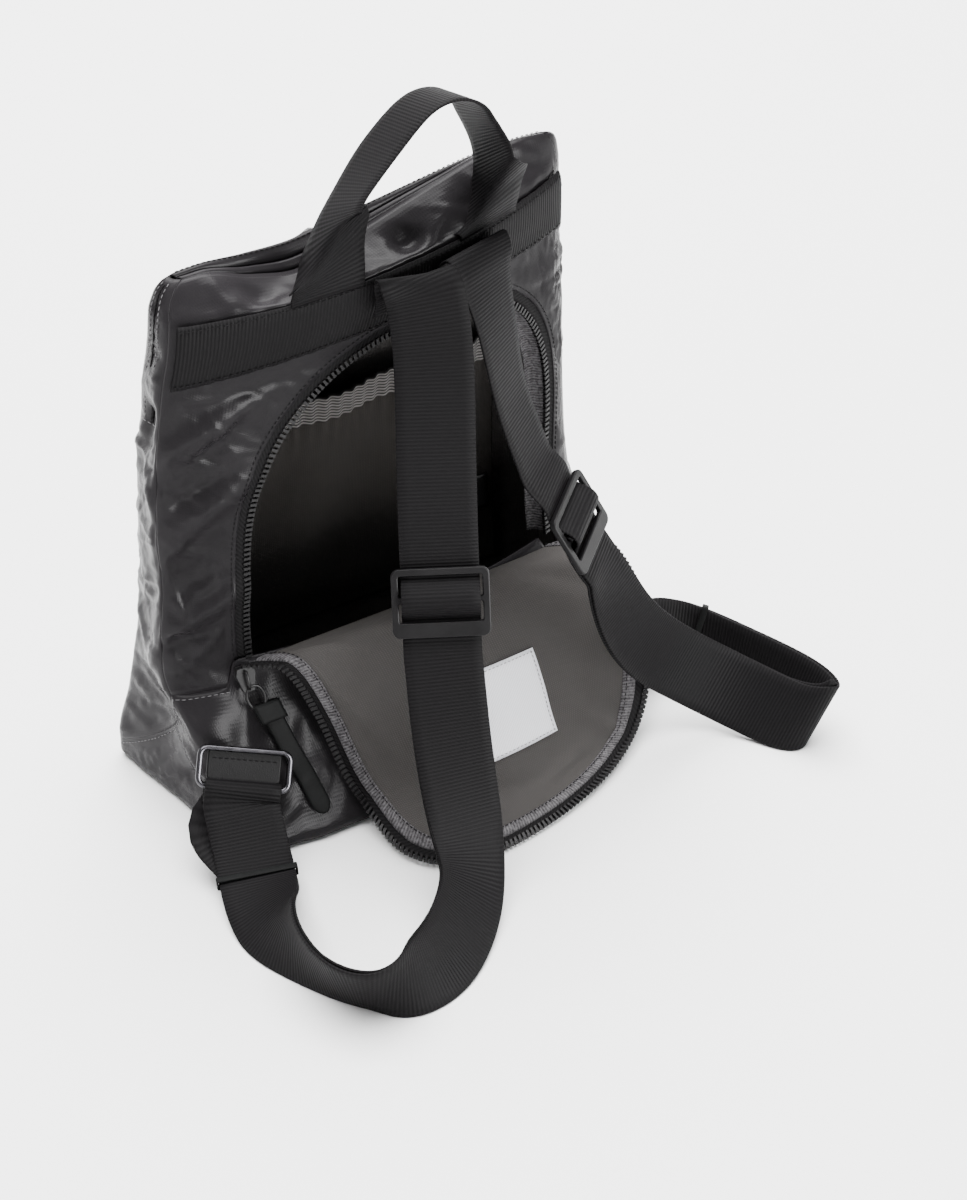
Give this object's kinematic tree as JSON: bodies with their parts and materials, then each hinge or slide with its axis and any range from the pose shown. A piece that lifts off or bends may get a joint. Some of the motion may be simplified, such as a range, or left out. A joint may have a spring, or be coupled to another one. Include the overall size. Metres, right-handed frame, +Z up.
{
  "type": "backpack",
  "caption": "Soft nylon backpack standing on its base, arched back opening unzipped with its flap folded down, webbing carry handle and adjustable shoulder straps.",
  "frame": {"origin": "on the floor, under the middle of the base", "axes": "+X to the right as seen from the back with the flap, -Y out of that back, +Z up"},
  "size_m": [0.3449, 0.2606, 0.3673],
  "materials": {
    "nylon_shell": "coated nylon, semi-gloss",
    "lining": "plain woven polyester, matte",
    "webbing": "ribbed nylon webbing, matte",
    "zipper": "moulded zip teeth on woven tape",
    "zipper_slider": "black coated zip slider",
    "binding_tape": "woven binding tape, mottled grey",
    "elastic": "ribbed elastic band",
    "woven_label": "satin woven label, blank",
    "label_black": "satin label, blank",
    "acetal": "moulded acetal, fine grain",
    "gunmetal": "gunmetal wire",
    "leather": "smooth black leather",
    "rubber": "soft matte rubber"
  },
  "bodies": {
    "root": {"gusset_left": "nylon_shell", "gusset_right": "nylon_shell", "front_panel": "nylon_shell", "base_panel": "nylon_shell", "back_panel": "nylon_shell", "top_zip": "zipper", "mouth_zip": "zipper", "mouth_binding": "binding_tape", "door_panel": "nylon_shell", "door_lining": "lining", "door_binding": "binding_tape", "door_zip": "zipper", "door_label": "woven_label", "yoke_band": "webbing", "carry_handle": "webbing", "shoulder_strap_left": "webbing", "shoulder_strap_right": "webbing", "strap_slider_left": "acetal", "strap_slider_right": "acetal", "base_ring_left": "gunmetal", "base_ring_right": "gunmetal", "ring_tab_left": "leather", "ring_tab_right": "leather", "strap_keeper_left": "rubber", "strap_keeper_right": "rubber", "zip_slider": "zipper_slider", "zip_pull": "rubber", "inner_pocket": "lining", "pocket_elastic": "elastic", "inner_label": "label_black"}
  },
  "joints": []
}
